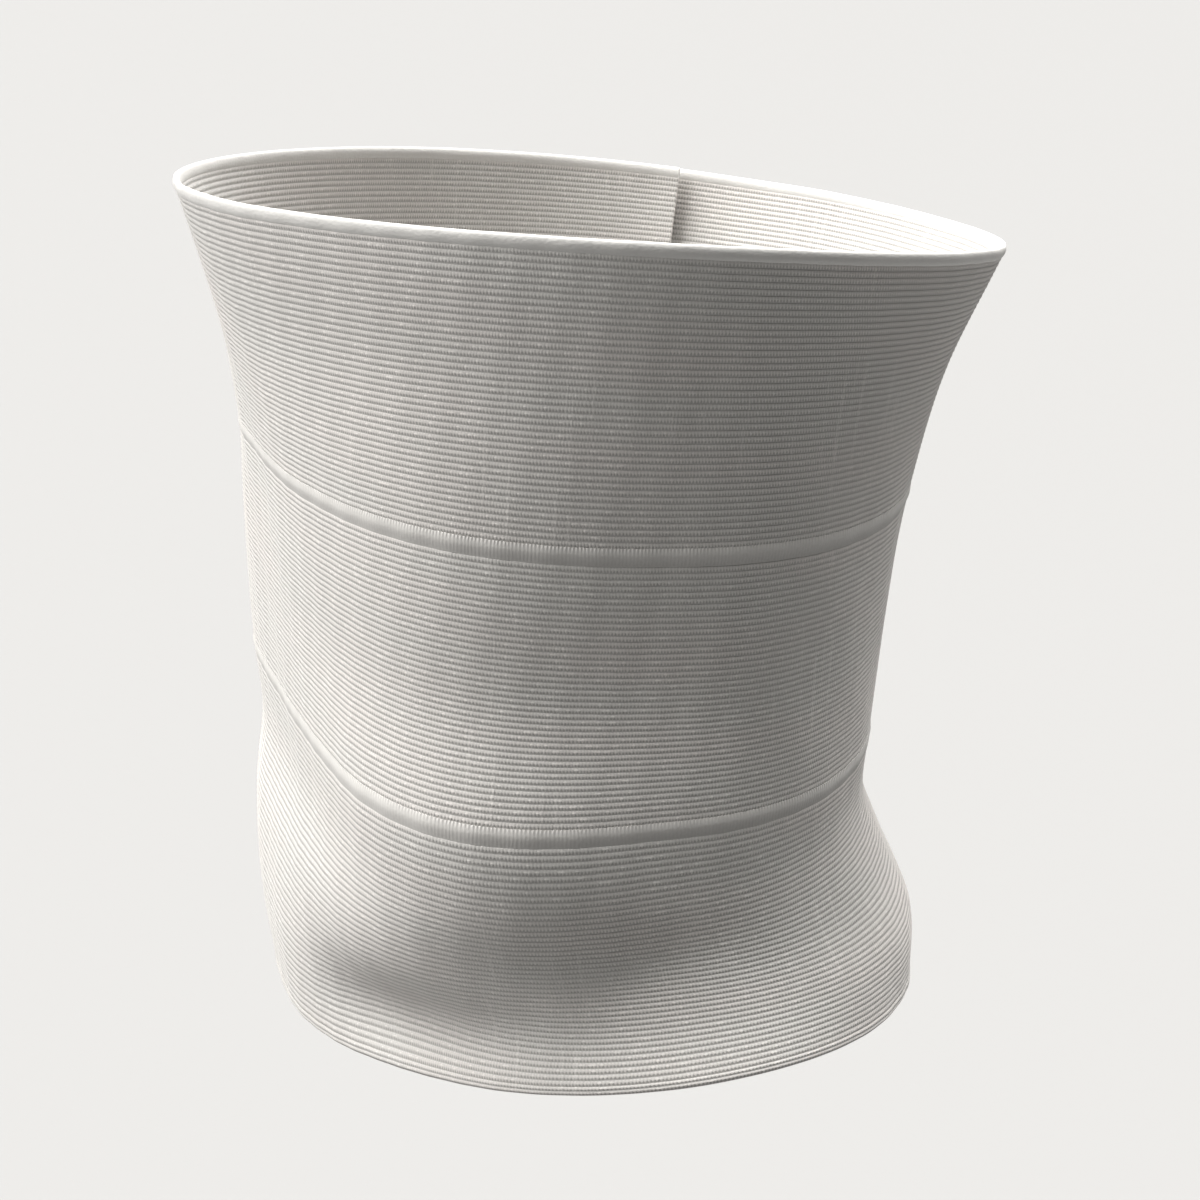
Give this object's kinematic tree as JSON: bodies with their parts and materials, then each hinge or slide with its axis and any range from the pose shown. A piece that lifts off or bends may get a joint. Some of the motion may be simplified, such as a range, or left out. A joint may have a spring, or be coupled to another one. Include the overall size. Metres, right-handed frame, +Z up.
{
  "type": "abdominal binder",
  "caption": "Wide elastic abdominal binder in its worn form: ribbed stretch panels joined by plain strips, with edged rims and an overlapped closure.",
  "frame": {"origin": "inside the torso, on its vertical axis at the band's mid height", "axes": "+Z up the torso, -Y towards the wearer's front, +X towards the wearer's left"},
  "size_m": [0.2838, 0.2412, 0.2476],
  "materials": {
    "knit": "matte ribbed elastic knit",
    "plain_trim": "smooth matte knit",
    "hook": "matte"
  },
  "bodies": {
    "root": {"bottom_edge": "plain_trim", "lower_panel": "knit", "lower_joining_strip": "plain_trim", "middle_panel": "knit", "upper_joining_strip": "plain_trim", "upper_panel": "knit", "top_edge": "plain_trim", "closure_hook_strip": "hook"}
  },
  "joints": []
}
